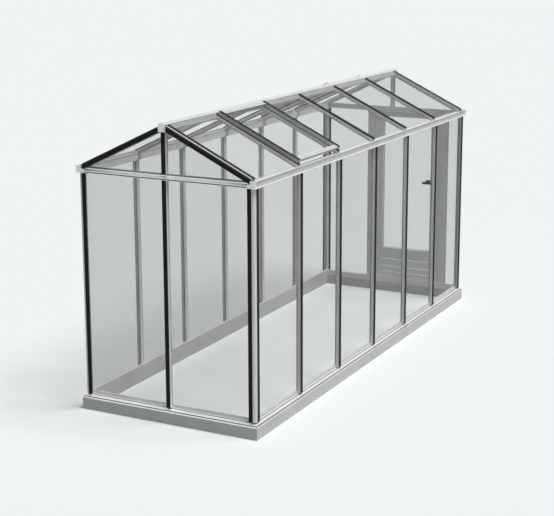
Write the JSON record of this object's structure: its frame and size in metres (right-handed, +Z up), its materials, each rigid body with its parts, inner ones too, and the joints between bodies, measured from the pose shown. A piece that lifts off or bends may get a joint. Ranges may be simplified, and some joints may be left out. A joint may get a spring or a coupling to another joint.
{
  "type": "glass greenhouse",
  "caption": "Ridge-roofed glass greenhouse of metal glazing bars with dark cover strips on a raised base, with eave gutters, closed roof vents and a hinged gable door with a lever handle.",
  "frame": {"origin": "ground level at the middle of the base's plan", "axes": "+Z up, door gable towards -Y, plain gable towards +Y, left long side towards -X"},
  "size_m": [1.62, 4.629, 2.4078],
  "materials": {
    "base_metal": "mill finish extrusion",
    "sill_metal": "bright ribbed extrusion",
    "bar_metal": "satin extrusion",
    "door_metal": "satin extrusion",
    "strip": "matte black cover strip",
    "handle": "matte black",
    "hinge_steel": "brushed",
    "glass": "clear toughened sheet"
  },
  "bodies": {
    "frame": {"base_side_rails": "base_metal", "base_end_rails": "base_metal", "side_sills": "sill_metal", "end_sills": "sill_metal", "corner_posts": "bar_metal", "left_wall_bars": "bar_metal", "right_wall_bars": "bar_metal", "back_wall_bars": "bar_metal", "front_gable_bar": "bar_metal", "left_wall_caps": "strip", "right_wall_caps": "strip", "back_wall_caps": "strip", "front_wall_caps": "strip", "left_roof_caps": "strip", "right_roof_caps": "strip", "left_eave_gutter": "bar_metal", "right_eave_gutter": "bar_metal", "gutter_end_caps": "bar_metal", "back_gable_rail": "bar_metal", "front_gable_rail": "bar_metal", "gable_rafters": "bar_metal", "left_roof_bars": "bar_metal", "right_roof_bars": "bar_metal", "ridge_beam": "bar_metal", "ridge_end_caps": "bar_metal", "left_wall_glass": "glass", "right_wall_glass": "glass", "back_glass": "glass", "front_glass": "glass", "left_roof_glass": "glass", "right_roof_glass": "glass", "vent_side_rails": "bar_metal", "vent_cross_rails": "sill_metal", "vent_caps": "strip", "vent_glass": "glass", "door_jambs": "door_metal", "door_hinge_brackets": "hinge_steel"},
    "door": {"door_stiles": "door_metal", "door_top_rail": "door_metal", "door_kick_panel": "door_metal", "door_glass": "glass", "door_hinge_leaves": "hinge_steel", "door_roses": "handle"},
    "handle": {"door_handle": "handle"}
  },
  "joints": [
    {"name": "door_swing", "type": "hinge", "parent": "frame", "child": "door", "pos_m": [0.2075, -2.29, 1], "axis": [0, 0, 1], "range_deg": [0, 105]},
    {"name": "handle_turn", "type": "hinge", "parent": "door", "child": "handle", "pos_m": [-0.477, -2.266, 1.228], "axis": [0, 1, 0], "range_deg": [0, 40], "stiffness_Nm_per_rad": 0.6, "springref_deg": -17.19}
  ]
}
